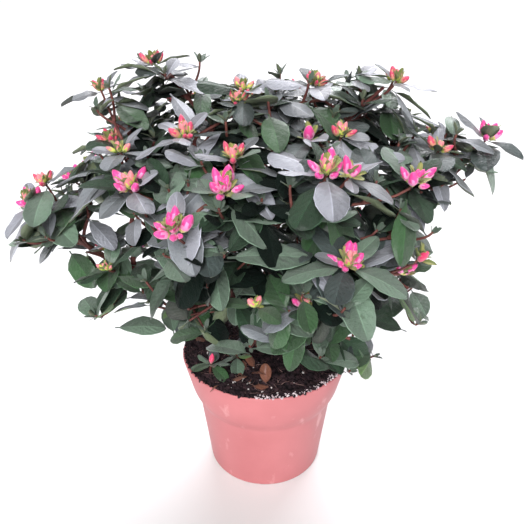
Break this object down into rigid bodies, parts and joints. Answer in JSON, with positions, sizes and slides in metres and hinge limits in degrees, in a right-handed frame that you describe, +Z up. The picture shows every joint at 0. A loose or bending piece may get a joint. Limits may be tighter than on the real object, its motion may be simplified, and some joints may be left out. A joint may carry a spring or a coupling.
{
  "type": "potted azalea shrub",
  "caption": "Small evergreen azalea shrub in bud, branching from a short trunk, standing in a tapered plastic nursery pot of soil.",
  "frame": {"origin": "centre of the pot's flat underside", "axes": "+Z up, -Y towards the side that the plant is seen from, +X to the right as seen from there"},
  "size_m": [0.3133, 0.2434, 0.3049],
  "materials": {
    "pot_plastic": "thin matt salmon-pink polypropylene",
    "soil": "damp fibrous peat",
    "bark": "thin reddish-brown bark",
    "leaves": "dark grey-green leaves with a dull sheen"
  },
  "bodies": {
    "root": {"bough_back_left_high": "bark", "bough_back_low": "bark", "bough_back_low_left": "bark", "bough_back_low_right": "bark", "bough_back_right_high": "bark", "bough_front_left_high": "bark", "bough_front_right_high": "bark", "bough_left_low": "bark", "bough_left_shoulder": "bark", "bough_low_right": "bark", "bough_right_low": "bark", "bough_top_left": "bark", "bough_top_right": "bark", "leaves_back_high": "leaves", "leaves_back_left": "leaves", "leaves_back_left_high": "leaves", "leaves_back_low": "leaves", "leaves_back_low_left": "leaves", "leaves_back_low_right": "leaves", "leaves_back_middle_left": "leaves", "leaves_back_middle_right": "leaves", "leaves_back_right": "leaves", "leaves_back_right_high": "leaves", "leaves_back_top": "leaves", "leaves_back_top_left": "leaves", "leaves_back_top_right": "leaves", "leaves_far_left": "leaves", "leaves_far_right": "leaves", "leaves_front_left": "leaves", "leaves_front_left_high": "leaves", "leaves_front_left_low": "leaves", "leaves_front_low": "leaves", "leaves_front_middle": "leaves", "leaves_front_right": "leaves", "leaves_front_right_high": "leaves", "leaves_left_front": "leaves", "leaves_left_low": "leaves", "leaves_left_shoulder": "leaves", "leaves_low_left": "leaves", "leaves_low_right": "leaves", "leaves_middle": "leaves", "leaves_right_front": "leaves", "leaves_right_low": "leaves", "leaves_right_shoulder": "leaves", "leaves_right_side": "leaves", "leaves_top_front": "leaves", "leaves_top_left": "leaves", "leaves_top_middle": "leaves", "leaves_top_right": "leaves", "leaves_upper_left": "leaves", "pot": "pot_plastic", "soil": "soil", "stem_back_left": "bark", "stem_back_right": "bark", "stem_front_left": "bark", "stem_front_right": "bark", "stem_left": "bark", "stem_middle": "bark", "stem_right": "bark", "trunk": "bark"}
  },
  "joints": []
}
